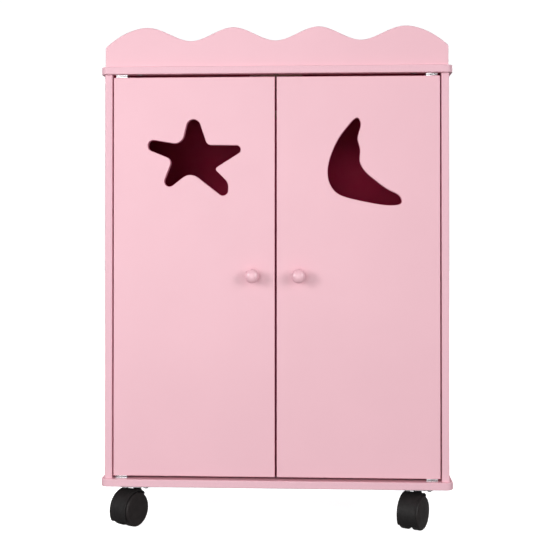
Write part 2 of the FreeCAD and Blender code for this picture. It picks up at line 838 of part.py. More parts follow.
board(
    "base_board",
    "caster_tall",
    base_screws + plate_screws + [fixed_leaf_screws[side, "lower"] for side in ("left", "right")],
)
board(
    "top_board",
    LID,
    top_screws
    + crest_screws
    + catch_screws
    + [fixed_leaf_screws[side, "upper"] for side in ("left", "right")],
)


def on_side(row, side):
    """The half of a row of screws or nails that stands on the given side, the left ones coming first."""
    half = len(row) // 2
    return row[:half] if side == "left" else row[half:]


def side_panel(side, sign):
    """A side panel with a rebate along its rear inner edge for the back panel."""
    panel = body(f"{side}_side_blank")
    outline = sketch_on(panel, "XY_Plane", f"{side}_side_outline")
    add_rectangle(outline, "panel_thick", CARCASS_DEEP)
    pad(panel, outline, "opening_tall")
    front = -(size("board_deep") - size("overhang")) / 2
    soften(panel, "door_soft", lambda edge: runs_along(edge, 2) and lies_at(edge, 1, front))
    corner = (f"{-sign} * panel_thick / 2", f"{CARCASS_DEEP} / 2", "0")
    rebate = sketch_on(panel, "XY_Plane", f"{side}_side_rebate", corner)
    add_rectangle(rebate, "2 * rebate", "2 * back_thick")
    pocket(panel, rebate)
    place(panel, (f"{sign} * {SIDE_MIDDLE}", f"({FACE} + {BACK}) / 2", BASE_TOP))
    tools = [on_side(row, side) for row in (base_screws, top_screws, back_nails)]
    keep(cut(f"{side}_side_panel", panel, sum(tools, socket_screws[side])), f"{side}_side_panel")


side_panel("left", -1)
side_panel("right", 1)

back_blank = box(
    "back_blank",
    f"{OPENING_WIDE} + 2 * rebate",
    "back_thick",
    "opening_tall",
    (f"-{OPENING_WIDE} / 2 - rebate", f"{BACK} - back_thick", BASE_TOP),
)
keep(cut("back_panel", back_blank, back_nails), "back_panel")


def crest_points():
    """The top edge from left to right: a wave over three pitches, then a falling curve to each end."""
    peak = size("crest_peak")
    valley = size("crest_valley")
    shoulder = size("crest_shoulder")
    pitch = size("crest_pitch")
    half_wide = size("crest_wide") / 2
    last_peak = 1.5 * pitch
    points = []
    for quarter in range(-6, 7):
        rise = (peak + valley) / 2 - (peak - valley) / 2 * math.cos(quarter * math.pi / 2)
        points.append((quarter * pitch / 4, rise))
    for third in (1, 2, 3):
        x = last_peak + (half_wide - last_peak) * third / 3
        rise = peak - (peak - shoulder) * (third / 3) ** 2
        points.append((x, rise))
        points.insert(0, (-x, rise))
    return [FreeCAD.Vector(x, y) for x, y in points]


crest_blank = body("crest_blank")
crest_outline = sketch_on(crest_blank, "XZ_Plane", "crest_outline")
wave = Part.BSplineCurve()
wave_points = crest_points()
wave.interpolate(wave_points)
crest_outline.addGeometry(wave)
feet = [FreeCAD.Vector(point.x, 0) for point in (wave_points[0], wave_points[-1])]
crest_outline.addGeometry(Part.LineSegment(wave_points[0], feet[0]))
crest_outline.addGeometry(Part.LineSegment(feet[0], feet[1]))
crest_outline.addGeometry(Part.LineSegment(feet[1], wave_points[-1]))
pad(crest_blank, crest_outline, "crest_thick")
soften(crest_blank, "crest_corner", lambda edge: runs_along(edge, 1) and edge.BoundBox.ZMin > TOUCH)
soften(crest_blank, "edge_soft", lambda edge: edge.BoundBox.YLength < TOUCH and edge.BoundBox.ZMax > TOUCH)
place(crest_blank, ("0", f"{FACE} + crest_thick", f"{LID} + panel_thick"))
keep(cut("crest_board", crest_blank, crest_screws), "crest_board")


# ---- checks and output ----

doc.recompute()
for thing in doc.Objects:
    faults = [state for state in thing.State if state in ("Invalid", "Error")]
    if faults:
        raise RuntimeError(f"{thing.Label}: {faults}")
for piece in pieces:
    if piece.Shape.isNull() or not piece.Shape.isValid():
        raise RuntimeError(f"{piece.Label}: its shape is null or not valid")

os.makedirs("parts", exist_ok=True)
for piece in pieces:
    piece.Shape.exportStep(f"parts/{piece.Label}.step")
    print(piece.Label, len(piece.Shape.Solids), round(piece.Shape.Volume, 1))
print("sub-parts:", len(pieces))
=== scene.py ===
import json
import math

import bmesh
import bpy
from mathutils import Matrix, Vector
from mathutils.geometry import tessellate_polygon


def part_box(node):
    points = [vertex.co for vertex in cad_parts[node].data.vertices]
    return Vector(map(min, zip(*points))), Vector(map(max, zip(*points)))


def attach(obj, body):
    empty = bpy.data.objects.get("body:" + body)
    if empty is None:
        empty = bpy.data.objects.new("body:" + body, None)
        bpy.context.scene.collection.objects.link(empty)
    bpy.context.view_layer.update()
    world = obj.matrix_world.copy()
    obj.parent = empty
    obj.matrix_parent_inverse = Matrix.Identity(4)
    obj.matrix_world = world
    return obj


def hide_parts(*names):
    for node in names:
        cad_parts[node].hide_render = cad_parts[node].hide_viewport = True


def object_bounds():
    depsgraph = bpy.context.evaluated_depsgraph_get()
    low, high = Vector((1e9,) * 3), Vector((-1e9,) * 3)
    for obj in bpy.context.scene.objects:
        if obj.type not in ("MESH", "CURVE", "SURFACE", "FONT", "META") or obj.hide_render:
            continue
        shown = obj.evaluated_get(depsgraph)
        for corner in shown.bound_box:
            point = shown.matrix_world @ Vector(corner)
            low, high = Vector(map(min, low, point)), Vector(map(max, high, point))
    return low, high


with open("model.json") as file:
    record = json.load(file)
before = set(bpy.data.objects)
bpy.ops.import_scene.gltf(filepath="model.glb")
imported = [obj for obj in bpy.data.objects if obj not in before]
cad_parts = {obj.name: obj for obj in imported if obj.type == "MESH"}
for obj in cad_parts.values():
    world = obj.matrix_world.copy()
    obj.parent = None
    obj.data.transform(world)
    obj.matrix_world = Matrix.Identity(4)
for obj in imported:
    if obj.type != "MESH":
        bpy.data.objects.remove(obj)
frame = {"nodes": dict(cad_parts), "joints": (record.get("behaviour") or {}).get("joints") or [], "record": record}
CAD_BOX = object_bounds()

NODES = frame["nodes"]
BODY_OF = {
    node: body for body, nodes in frame["record"]["behaviour"]["bodies"].items() for node in nodes
}
SLOT_OF = {part["node"]: part["material_slot"] for part in frame["record"]["subparts"]}
JOINTS = {joint["name"]: joint for joint in frame["joints"]}
CORNERS = ("front_left", "front_right", "rear_left", "rear_right")
MM = 0.001
SIDEWAYS, FORWARD, BACKWARD, UPWARD = (1, 0, 0), (0, -1, 0), (0, 1, 0), (0, 0, 1)


# ---- materials ----


class Look:
    """A material made of nodes about one Principled shader, laid out in object coordinates."""

    def __init__(self, name, **sockets):
        self.material = bpy.data.materials.new(name)
        self.material.use_nodes = True
        self.tree = self.material.node_tree
        self.shader = self.tree.nodes["Principled BSDF"]
        self.place = self.add("ShaderNodeTexCoord")
        for socket, value in sockets.items():
            self.shader.inputs[socket.replace("_", " ")].default_value = value

    def add(self, kind, **settings):
        node = self.tree.nodes.new(kind)
        for name, value in settings.items():
            setattr(node, name, value)
        return node

    def join(self, source, target):
        self.tree.links.new(source, target)

    def noise(self, scale, stretch=(1, 1, 1), detail=3, rough=0.5):
        """Noise with that many features to the metre, drawn out by the stretch along each axis."""
        mapping = self.add("ShaderNodeMapping")
        mapping.inputs["Scale"].default_value = stretch
        noise = self.add("ShaderNodeTexNoise")
        noise.inputs["Scale"].default_value = scale
        noise.inputs["Detail"].default_value = detail
        noise.inputs["Roughness"].default_value = rough
        self.join(self.place.outputs["Object"], mapping.inputs["Vector"])
        self.join(mapping.outputs["Vector"], noise.inputs["Vector"])
        return noise.outputs["Fac"]

    def remap(self, source, low, high, to_low, to_high):
        node = self.add("ShaderNodeMapRange", interpolation_type="SMOOTHSTEP")
        for socket, value in zip(
            ("From Min", "From Max", "To Min", "To Max"), (low, high, to_low, to_high)
        ):
            node.inputs[socket].default_value = value
        self.join(source, node.inputs["Value"])
        return node.outputs["Result"]

    def combine(self, operation, first, second):
        node = self.add("ShaderNodeMath", operation=operation)
        self.join(first, node.inputs[0])
        self.join(second, node.inputs[1])
        return node.outputs["Value"]

    def within(self, axis, low, high):
        """1 where the place lies between two values in metres along the axis X, Y or Z, else 0."""
        split = self.add("ShaderNodeSeparateXYZ")
        self.join(self.place.outputs["Object"], split.inputs[0])
        above = self.remap(split.outputs[axis], low, low + MM, 0, 1)
        below = self.remap(split.outputs[axis], high - MM, high, 1, 0)
        return self.combine("MULTIPLY", above, below)

    def blend(self, share, first, second):
        """A colour from the first to the second as the share goes from 0 to 1. Either may be a socket."""
        node = self.add("ShaderNodeMix", data_type="RGBA")
        self.join(share, node.inputs["Factor"])
        for socket, colour in (("A", first), ("B", second)):
            target = [s for s in node.inputs if s.name == socket and s.type == "RGBA"][0]
            if isinstance(colour, tuple):
                target.default_value = (*colour, 1)
            else:
                self.join(colour, target)
        return [s for s in node.outputs if s.type == "RGBA"][0]

    def facing(self, axis, one_way=False):
        """1 where the surface faces along the axis, and 0 where it faces across it."""
        dot = self.add("ShaderNodeVectorMath", operation="DOT_PRODUCT")
        dot.inputs[1].default_value = axis
        self.join(self.place.outputs["Normal"], dot.inputs[0])
        value = dot.outputs["Value"]
        if not one_way:
            size = self.add("ShaderNodeMath", operation="ABSOLUTE")
            self.join(value, size.inputs[0])
            value = size.outputs["Value"]
        return self.remap(value, 0.55, 0.95, 0, 1)

    def colour(self, source):
        self.join(source, self.shader.inputs["Base Color"])

    def roughness(self, source):
        self.join(source, self.shader.inputs["Roughness"])

    def bump(self, height, depth, strength=1.0):
        node = self.add("ShaderNodeBump")
        node.inputs["Distance"].default_value = depth
        node.inputs["Strength"].default_value = strength
        self.join(height, node.inputs["Height"])
        self.join(node.outputs["Normal"], self.shader.inputs["Normal"])


def shade(colour, factor):
    return tuple(channel * factor for channel in colour)


PINK = (0.9, 0.534, 0.604)
PINK_EDGE = (0.885, 0.537, 0.613)
# The doors' edge colour: a deep pink that is painted shade, standing in for the dark gaps round the doors.
DOOR_EDGE_PAINTED_SHADE = (0.78, 0.27, 0.37)
# Deep red inside: a raspberry darkened to paint in the shade of the closed cupboard.
RASPBERRY_AND_SHADE = (0.62, 0.016, 0.085)
FIBRE_DARK = (0.20, 0.115, 0.062)
FIBRE_LIGHT = (0.34, 0.21, 0.12)
FIBRE_BLOTCH = (0.30, 0.18, 0.10)
WOOD_DARK = (0.62, 0.41, 0.22)
WOOD_LIGHT = (0.74, 0.53, 0.31)
WOOD_PORE = (0.42, 0.25, 0.12)


def painted(name, broad, edge, inside=None, reach=()):
    """Satin spray paint on fibreboard, rougher on the cut edges than on the faces along the broad axis. On the
    doors the edge colour is a deep pink that is painted shade for the gaps round them.
    The face that looks the inside way is raspberry, a deep red that also paints in the shade of the closed
    cupboard, within the (axis, low, high) spans of the reach."""
    look = Look(name, IOR=1.46, Coat_Weight=0.12, Coat_Roughness=0.3)
    face = look.facing(broad)
    cloud = look.remap(look.noise(9, detail=2), 0.3, 0.7, 0, 1)
    on_face = look.blend(cloud, shade(PINK, 0.985), shade(PINK, 1.01))
    speck = look.remap(look.noise(900, detail=2), 0.35, 0.65, 0, 1)
    # On the doors this edge colour is painted shade for the gaps round them; elsewhere it is the pink's own edge
    # tone.
    edge_tone_and_shade = look.blend(speck, shade(edge, 0.97), edge)
    paint = look.blend(face, edge_tone_and_shade, on_face)
    if inside:
        inner = look.facing(inside, one_way=True)
        for axis, low, high in reach:
            inner = look.combine("MULTIPLY", inner, look.within(axis, low, high))
        # The inside's raspberry, darkened as painted shade for the closed cupboard.
        lining_and_shade = look.blend(cloud, shade(RASPBERRY_AND_SHADE, 0.96), RASPBERRY_AND_SHADE)
        paint = look.blend(inner, paint, lining_and_shade)
    look.colour(paint)
    dryness = look.remap(face, 0, 1, 0.12, 0)
    satin = look.remap(look.noise(60), 0.3, 0.7, 0.4, 0.47)
    look.roughness(look.combine("ADD", satin, dryness))
    look.bump(look.noise(520, detail=2), 0.00002, 0.6)
    return look.material


def knob_paint():
    look = Look("knob_paint", IOR=1.5, Coat_Weight=0.35, Coat_Roughness=0.12)
    cloud = look.remap(look.noise(160, detail=2), 0.3, 0.7, 0, 1)
    look.colour(look.blend(cloud, shade(PINK, 0.99), shade(PINK, 1.02)))
    look.roughness(look.remap(look.noise(300), 0.3, 0.7, 0.26, 0.34))
    look.bump(look.noise(600, detail=2), 0.00002, 0.5)
    return look.material


def hardboard():
    """Painted raspberry on the side that faces the clothes, a deep red that also paints in the shade of the closed
    cupboard, and bare pressed fibre on the other.
    """
    look = Look("hardboard", IOR=1.3)
    inner = look.facing(FORWARD, one_way=True)
    fibre = look.remap(look.noise(700, (1, 1, 0.35), detail=5, rough=0.7), 0.35, 0.65, 0, 1)
    blotch = look.remap(look.noise(14), 0.3, 0.7, 0, 1)
    brown = look.blend(fibre, FIBRE_DARK, FIBRE_LIGHT)
    brown = look.blend(blotch, brown, FIBRE_BLOTCH)
    # The inside's raspberry, darkened as painted shade for the closed cupboard.
    lining_and_shade = look.blend(blotch, shade(RASPBERRY_AND_SHADE, 0.96), RASPBERRY_AND_SHADE)
    look.colour(look.blend(inner, brown, lining_and_shade))
    look.roughness(look.remap(look.noise(120), 0.3, 0.7, 0.5, 0.68))
    look.bump(fibre, 0.00006, 0.5)
    return look.material


def rail_wood():
    look = Look("rail_wood", IOR=1.45)
    ring = look.remap(look.noise(120, (0.05, 1, 1), detail=4, rough=0.6), 0.3, 0.7, 0, 1)
    pore = look.remap(look.noise(900, (0.03, 1, 1), detail=2), 0.62, 0.7, 0, 1)
    wood = look.blend(ring, WOOD_DARK, WOOD_LIGHT)
    look.colour(look.blend(pore, wood, WOOD_PORE))
    look.roughness(look.remap(ring, 0, 1, 0.48, 0.6))
    look.bump(pore, 0.00008, 0.5)
    return look.material


def moulded(name, dark, light, rough, grain):
    """Moulded plastic with a fine spark-eroded grain, its depth in metres."""
    look = Look(name, IOR=1.38)
    cloud = look.remap(look.noise(130, detail=4), 0.3, 0.7, 0, 1)
    look.colour(look.blend(cloud, dark, light))
    look.roughness(look.remap(look.noise(420), 0.3, 0.7, rough - 0.05, rough + 0.07))
    look.bump(look.noise(2600, detail=2), grain, 0.5)
    return look.material


def plated(name, dark, light, rough, stretch):
    """Plated steel, with the faint lines of the rolled or turned metal drawn out by the stretch."""
    look = Look(name, Metallic=1.0)
    bloom = look.remap(look.noise(210, detail=4), 0.3, 0.7, 0, 1)
    look.colour(look.blend(bloom, dark, light))
    look.roughness(look.remap(look.noise(900, stretch), 0.3, 0.7, rough - 0.07, rough + 0.08))
    look.bump(look.noise(2400, stretch, detail=2), 0.00001, 0.6)
    return look.material


MATERIALS = {"knob_paint": knob_paint(), "hardboard": hardboard(), "rail_wood": rail_wood()}
for name, dark, light, rough, grain in (
    ("white_plastic", (0.74, 0.74, 0.71), (0.8, 0.8, 0.77), 0.36, 0.00001),
    ("brown_plastic", (0.09, 0.035, 0.026), (0.12, 0.05, 0.036), 0.42, 0.00002),
    ("magnet_black", (0.018, 0.018, 0.02), (0.05, 0.05, 0.055), 0.6, 0.00004),
    ("wheel_black", (0.019, 0.0155, 0.0155), (0.028, 0.0225, 0.0225), 0.46, 0.00002),
    ("hood_black", (0.010, 0.0088, 0.0088), (0.015, 0.013, 0.013), 0.6, 0.00003),
):
    MATERIALS[name] = moulded(name, dark, light, rough, grain)
for name, dark, light, rough, stretch in (
    ("zinc_plate", (0.68, 0.69, 0.71), (0.8, 0.8, 0.81), 0.3, (1, 0.08, 1)),
    ("fastener_steel", (0.6, 0.6, 0.62), (0.74, 0.74, 0.75), 0.28, (1, 1, 1)),
):
    MATERIALS[name] = plated(name, dark, light, rough, stretch)

# Spans in metres in which the inside's raspberry, a deep red that also paints in the shade of the closed cupboard,
# shows: between the side panels, and from the doors' backs or fronts to the back panel.
ACROSS_INSIDE = ("X", -0.1745, 0.1745)
BEHIND_DOORS = ("Y", -0.0905, 0.1155)
UNDER_DOORS = ("Y", -0.078, 0.1155)
# The doors' edges take the deep pink of painted shade for the gaps round them.
DOOR_PAINT = painted("pink_paint_doors", BACKWARD, DOOR_EDGE_PAINTED_SHADE, BACKWARD)
PAINT = {
    "base_board": painted("pink_paint_base", UPWARD, PINK_EDGE, UPWARD, (ACROSS_INSIDE, UNDER_DOORS)),
    "top_board": painted("pink_paint_top", UPWARD, PINK_EDGE, (0, 0, -1), (ACROSS_INSIDE, BEHIND_DOORS)),
    "left_side_panel": painted("pink_paint_left", SIDEWAYS, PINK_EDGE, SIDEWAYS, (BEHIND_DOORS,)),
    "right_side_panel": painted("pink_paint_right", SIDEWAYS, PINK_EDGE, (-1, 0, 0), (BEHIND_DOORS,)),
    "crest_board": painted("pink_paint_crest", BACKWARD, PINK_EDGE),
    "left_door": DOOR_PAINT,
    "right_door": DOOR_PAINT,
}


def material_of(node):
    return PAINT[node] if node in PAINT else MATERIALS[SLOT_OF[node]]


# ---- mesh helpers: shapes are drawn in millimetres and carried to their place by a matrix ----


def spot(at, along=(0, 0, 1)):
    """Carries millimetres about the origin to a place in metres, with +Z turned to the direction."""
    tilt = Vector((0, 0, 1)).rotation_difference(Vector(along)).to_matrix().to_4x4()
    return Matrix.Translation(at) @ tilt @ Matrix.Scale(MM, 4)


def rounded(corners, closed=True, steps=5):
    """The outline through corners given as (x, y) or (x, y, radius), with an arc at each radius."""
    count = len(corners)
    result = []
    for index, corner in enumerate(corners):
        at = Vector(corner[:2])
        radius = corner[2] if len(corner) == 3 else 0
        is_end = not closed and index in (0, count - 1)
        if radius == 0 or is_end:
            result.append(at)
            continue
        before = (Vector(corners[index - 1][:2]) - at).normalized()
        after = (Vector(corners[(index + 1) % count][:2]) - at).normalized()
        half = before.angle(after) / 2
        reach = radius / math.tan(half)
        middle = at + (before + after).normalized() * (radius / math.sin(half))
        start = at + before * reach - middle
        end = at + after * reach - middle
        for step in range(steps + 1):
            share = step / steps
            spoke = start.lerp(end, share)
            result.append(middle + spoke.normalized() * radius)
    return result


def add_loop(bm, points, height, matrix):
    return [bm.verts.new(matrix @ Vector((x, y, height))) for x, y in points]


def bridge(bm, low, high):
    for index in range(len(low)):
        after = (index + 1) % len(low)
        bm.faces.new((low[index], low[after], high[after], high[index]))


def fill(bm, loops):
    """Fills the first loop, leaving the other loops as holes."""
    corners = [vert for loop in loops for vert in loop]
    for triangle in tessellate_polygon([[vert.co for vert in loop] for loop in loops]):
        bm.faces.new([corners[index] for index in triangle])


def turn(bm, profile, matrix, segments=48):
    """A turned form: (radius, height) points about the matrix's Z axis."""
    rings = []
    for radius, height in profile:
        if radius < 1e-6:
            rings.append([bm.verts.new(matrix @ Vector((0, 0, height)))])
            continue
        angles = [2 * math.pi * n / segments for n in range(segments)]
        points = [(radius * math.cos(a), radius * math.sin(a)) for a in angles]
        rings.append(add_loop(bm, points, height, matrix))
    for low, high in zip(rings, rings[1:]):
        if len(low) == len(high) > 1:
            bridge(bm, low, high)
            continue
        tip, ring = (low, high) if len(low) == 1 else (high, low)
        for index in range(len(ring)):
            bm.faces.new((tip[0], ring[index], ring[(index + 1) % len(ring)]))
    return rings


def slab(bm, outline, holes, low, high, matrix):
    """A flat plate between two heights, with holes through it."""
    floors = [add_loop(bm, loop, low, matrix) for loop in [outline] + holes]
    roofs = [add_loop(bm, loop, high, matrix) for loop in [outline] + holes]
    for floor, roof in zip(floors, roofs):
        bridge(bm, floor, roof)
    fill(bm, floors)
    fill(bm, roofs)


def circle(across, at=(0, 0), count=32):
    """Points round a circle of that diameter."""
    angles = [2 * math.pi * n / count for n in range(count)]
    return [(at[0] + across / 2 * math.cos(a), at[1] + across / 2 * math.sin(a)) for a in angles]


def as_object(bm, name):
    """The mesh as a new object in the scene. The bmesh is used up."""
    mesh = bpy.data.meshes.new(name)
    bmesh.ops.recalc_face_normals(bm, faces=bm.faces)
    bm.to_mesh(mesh)
    bm.free()
    result = bpy.data.objects.new(name, mesh)
    bpy.context.scene.collection.objects.link(result)
    return result


def piece(node, bm, smooth=38):
    """Makes the mesh a piece that stands for the CAD node, which is hidden: its body and material are the node's.
    Edges sharper than the smooth angle in degrees stay sharp."""
    result = as_object(bm, f"{node}_detail")
    result.data.shade_smooth()
    result.data.set_sharp_from_angle(angle=math.radians(smooth))
    result.data.materials.append(material_of(node))
    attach(result, BODY_OF[node])
    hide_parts(node)


def solids_of(node):
    """The vertices of each separate solid of a CAD node."""
    bm = bmesh.new()
    bm.from_mesh(NODES[node].data)
    bmesh.ops.remove_doubles(bm, verts=bm.verts, dist=1e-6)
    left = set(bm.verts)
    found = []
    while left:
        open_verts = [left.pop()]
        solid = []
        while open_verts:
            vert = open_verts.pop()
            solid.append(vert.co.copy())
            for edge in vert.link_edges:
                other = edge.other_vert(vert)
                if other in left:
                    left.remove(other)
                    open_verts.append(other)
        found.append(solid)
    bm.free()
    return sorted(found, key=lambda solid: tuple(round(x, 5) for x in box_of(solid)[2]))


def box_of(solid):
    """The lowest and the highest corner of the box about a solid, and the middle of that box."""
    low = Vector(map(min, *solid))
    high = Vector(map(max, *solid))
    return low, high, (low + high) / 2


def rods_of(node):
    """For each headed rod of a CAD node: the middle of its head's face in metres, the way that its shank
    points, and its head diameter, shank diameter and length in millimetres."""
    for solid in solids_of(node):
        low, high, at = box_of(solid)
        extent = high - low
        axis = max(range(3), key=lambda k: extent[k])
        across = [k for k in range(3) if k != axis][0]

        def width_at(value):
            near = [v[across] for v in solid if abs(v[axis] - value) < 1e-5]
            return (max(near) - min(near)) / MM

        ends = [(width_at(low[axis]), low[axis], 1), (width_at(high[axis]), high[axis], -1)]
        head, shank = sorted(ends, reverse=True)
        at[axis] = head[1]
        along = Vector()
        along[axis] = head[2]
        yield at, along, head[0], shank[0], extent[axis] / MM


# ---- screws and nails ----

# The driver's cross in a head: half its arm's width, its reach and its depth as shares of the head's
# radius, and how much narrower it is at the bottom.
CROSS_WIDE = 0.17
CROSS_REACH = 0.58
CROSS_DEEP = 0.55
CROSS_FOOT = 0.6
# The flat of a head and the inset of its rounded rim, as shares of the head's radius.
FLAT_DOMED = 0.72
FLAT_SUNK = 0.9
RIM_INSET = 0.06
# How far down the rim's two points are: as shares of a dome, and in millimetres on a sunk head.
RIM_HIGH = 0.25
RIM_LOW = 0.7
RIM_SUNK = 0.12
# The thread, as shares of the shank's radius: the bottom of its groove, and the neck and the tip.
GROOVE = 0.78
NECK = 0.8
# The thread, as shares of the shank's diameter: its pitch, and how far from the end it and the neck stop.
PITCH = 0.42
THREAD_STOP = 1.6
TIP_LONG = 1.2
# Each screw's cross is turned on from the one before by this many radians.
CROSS_TURN = 0.9


def cross(radius):
    """A cross-shaped outline for a driver, sized for a head of that radius."""
    w = CROSS_WIDE * radius
    r = CROSS_REACH * radius
    quarter = [(r, -w), (r, w), (w, w)]
    points = []
    for index in range(4):
        c, s = round(math.cos(index * math.pi / 2)), round(math.sin(index * math.pi / 2))
        points += [(x * c - y * s, x * s + y * c) for x, y in quarter]
    return points


def add_screw(bm, rod, cone, dome, spin):
    """A cross-head screw: countersunk by the cone's height, or domed above its seat."""
    at, along, head, shank, length = rod
    matrix = spot(at, along) @ Matrix.Rotation(spin, 4, "Z")
    radius = head / 2
    core = shank / 2
    flat = radius * (FLAT_DOMED if dome else FLAT_SUNK)
    rim = [(flat, 0), (radius - RIM_INSET * radius, RIM_HIGH * dome)]
    rim += [(radius, RIM_LOW * dome), (radius, dome)] if dome else [(radius, RIM_SUNK)]
    seat = dome if dome else cone
    pitch = PITCH * shank
    thread = [(core, seat), (core * NECK, seat + pitch / 2)]
    reach = seat + pitch
    while reach < length - THREAD_STOP * shank:
        thread += [(core, reach), (core * GROOVE, reach + pitch / 2)]
        reach += pitch
    tip = [(core * NECK, length - TIP_LONG * shank), (0, length)]
    rings = turn(bm, rim + thread + tip, matrix, 32)
    mouth = add_loop(bm, cross(radius), 0, matrix)
    narrow = [(x * CROSS_FOOT, y * CROSS_FOOT) for x, y in cross(radius)]
    foot = add_loop(bm, narrow, CROSS_DEEP * radius, matrix)
    fill(bm, [rings[0], mouth])
    bridge(bm, mouth, foot)
    fill(bm, [foot])


def screws(node, cone=0.0, dome=0.0):
    bm = bmesh.new()
    for index, rod in enumerate(rods_of(node)):
        add_screw(bm, rod, cone, dome, spin=CROSS_TURN * index)
    piece(node, bm, smooth=30)


for node in ("base_board_screws", "top_board_screws", "crest_board_screws"):
    screws(node, cone=2.4)
for node in ("fitting_screws", "fixed_leaf_screws", "left_door_screws", "right_door_screws"):
    screws(node, cone=1)
for node, dome in (("caster_plate_screws", 1.6), ("left_knob_screw", 1.8), ("right_knob_screw", 1.8)):
    screws(node, dome=dome)

NAIL_POINT = 2
bm = bmesh.new()
for at, along, head, shank, length in rods_of("back_panel_nails"):
    profile = [(0, 0), (head / 2, 0.08, 0.12), (head / 2, 0.5), (shank / 2, 0.75, 0.2)]
    profile += [(shank / 2, length - NAIL_POINT), (0, length)]
    turn(bm, rounded(profile, closed=False), spot(at, along), 24)
piece("back_panel_nails", bm)

MAGNET_RADIUS = 3.5
bm = bmesh.new()
for solid in solids_of("catch_magnets"):
    low, high, middle = box_of(solid)
    face = Vector((middle.x, low.y, middle.z))
    thick = (high.y - low.y) / MM
    profile = [(0, 0), (MAGNET_RADIUS, 0, 0.25), (MAGNET_RADIUS, thick, 0.1), (0, thick)]
    turn(bm, rounded(profile, closed=False), spot(face, BACKWARD), 40)
piece("catch_magnets", bm)


# ---- knobs, strikes, rail and sockets ----

# From the door's face outwards: foot, waist, and a head like a mushroom's.
KNOB = [
    (0, 0),
    (4.4, 0, 0.3),
    (4.4, 1.0, 0.5),
    (3.7, 2.6, 2.0),
    (3.6, 6.2, 2.2),
    (5.6, 8.6, 1.6),
    (7.5, 9.6, 1.5),
    (7.5, 12.6, 2.2),
    (5.9, 15.5, 3.0),
    (2.8, 16.95, 6.0),
    (0, 17.0),
]
# From the back to the front: a washer about a countersunk screw hole.
STRIKE = [(2.0, 0), (5, 0, 0.3), (5, 1, 0.1), (1, 1), (2.0, 0)]
for side in ("left", "right"):
    low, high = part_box(f"{side}_knob")
    bm = bmesh.new()
    foot = Vector(((low.x + high.x) / 2, high.y, (low.z + high.z) / 2))
    turn(bm, rounded(KNOB, closed=False, steps=6), spot(foot, FORWARD), 64)
    piece(f"{side}_knob", bm, smooth=50)

    low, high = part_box(f"{side}_strike")
    bm = bmesh.new()
    back = Vector(((low.x + high.x) / 2, high.y, (low.z + high.z) / 2))
    turn(bm, rounded(STRIKE, closed=False, steps=3), spot(back, FORWARD), 48)
    piece(f"{side}_strike", bm)

# A dowel with chamfered ends. Its radius wanders by a few hundredths of a millimetre along its length.
RAIL_RADIUS = 5
RAIL_END = 4.4
RAIL_CHAMFER = 1
RAIL_WAVE = 0.03
RAIL_STEPS = 40
low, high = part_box("hanging_rail")
long = (high.x - low.x) / MM
bm = bmesh.new()
start = Vector((low.x, (low.y + high.y) / 2, (low.z + high.z) / 2))
rail = [(0, 0), (RAIL_END, 0)]
for n in range(RAIL_STEPS + 1):
    height = RAIL_CHAMFER + (long - 2 * RAIL_CHAMFER) * n / RAIL_STEPS
    rail.append((RAIL_RADIUS + RAIL_WAVE * math.sin(n * 1.7), height))
rail += [(RAIL_END, long), (0, long)]
turn(bm, rail, spot(start, SIDEWAYS), 48)
piece("hanging_rail", bm, smooth=50)

# From the side panel inwards: a flange and a cup, and back along the bore.
SOCKET = [
    (5.1, 0),
    (12, 0, 0.1),
    (12, 1.5, 0.7),
    (7.1, 1.5, 0.8),
    (6.6, 2.6, 0.6),
    (6.5, 8, 0.6),
    (5.1, 8, 0.3),
    (5.1, 0),
]
for side, inward in (("left", 1), ("right", -1)):
    low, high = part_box(f"{side}_rail_socket")
    wall = Vector((low.x if inward > 0 else high.x, (low.y + high.y) / 2, (low.z + high.z) / 2))
    bm = bmesh.new()
    turn(bm, rounded(SOCKET, closed=False, steps=4), spot(wall, (inward, 0, 0)), 56)
    piece(f"{side}_rail_socket", bm)


# ---- hinges and catch: the leaves and the catch keep the CAD's shape and get softened edges ----

SHARP_FROM = math.radians(50)


def bevel(bm, edges, width, segments=3):
    bmesh.ops.bevel(
        bm,
        geom=edges,
        offset=width,
        segments=segments,
        profile=0.5,
        affect="EDGES",
        clamp_overlap=True,
    )


def edges_over(bm, angle):
    """The edges between two faces that meet at more than the angle."""
    return [edge for edge in bm.edges if len(edge.link_faces) == 2 and edge.calc_face_angle() > angle]


def soft_copy(node, width):
    """The node's own shape with its sharp edges rounded by the width in millimetres."""
    bm = bmesh.new()
    bm.from_mesh(NODES[node].data)
    bmesh.ops.remove_doubles(bm, verts=bm.verts, dist=1e-6)
    bmesh.ops.dissolve_limit(
        bm, angle_limit=math.radians(0.5), verts=bm.verts, edges=bm.edges, use_dissolve_boundaries=False
    )
    bevel(bm, edges_over(bm, SHARP_FROM), width * MM)
    piece(node, bm)


for side in ("left", "right"):
    for level in ("upper", "lower"):
        soft_copy(f"{side}_{level}_fixed_leaf", 0.2)
        soft_copy(f"{side}_{level}_door_leaf", 0.25)
    bm = bmesh.new()
    for solid in solids_of(f"{side}_hinge_pins"):
        low, high, foot = box_of(solid)
        is_upper = low.z > CAD_BOX[1].z / 2
        foot.z = low.z if is_upper else high.z
        tall = (high.z - low.z) / MM
        pin = [(0, 0), (1.5, 0, 0.2), (1.5, 1.2), (2.6, 1.2, 0.12), (2.6, tall - 1.2, 0.12)]
        pin += [(1.5, tall - 1.2), (1.5, tall, 0.3), (0, tall)]
        turn(bm, rounded(pin, closed=False, steps=3), spot(foot, (0, 0, 1 if is_upper else -1)), 40)
    piece(f"{side}_hinge_pins", bm)
soft_copy("magnetic_catch", 0.45)


# ---- casters: drawn about the swivel pin, with the floor at zero and the wheels trailing towards -Y ----

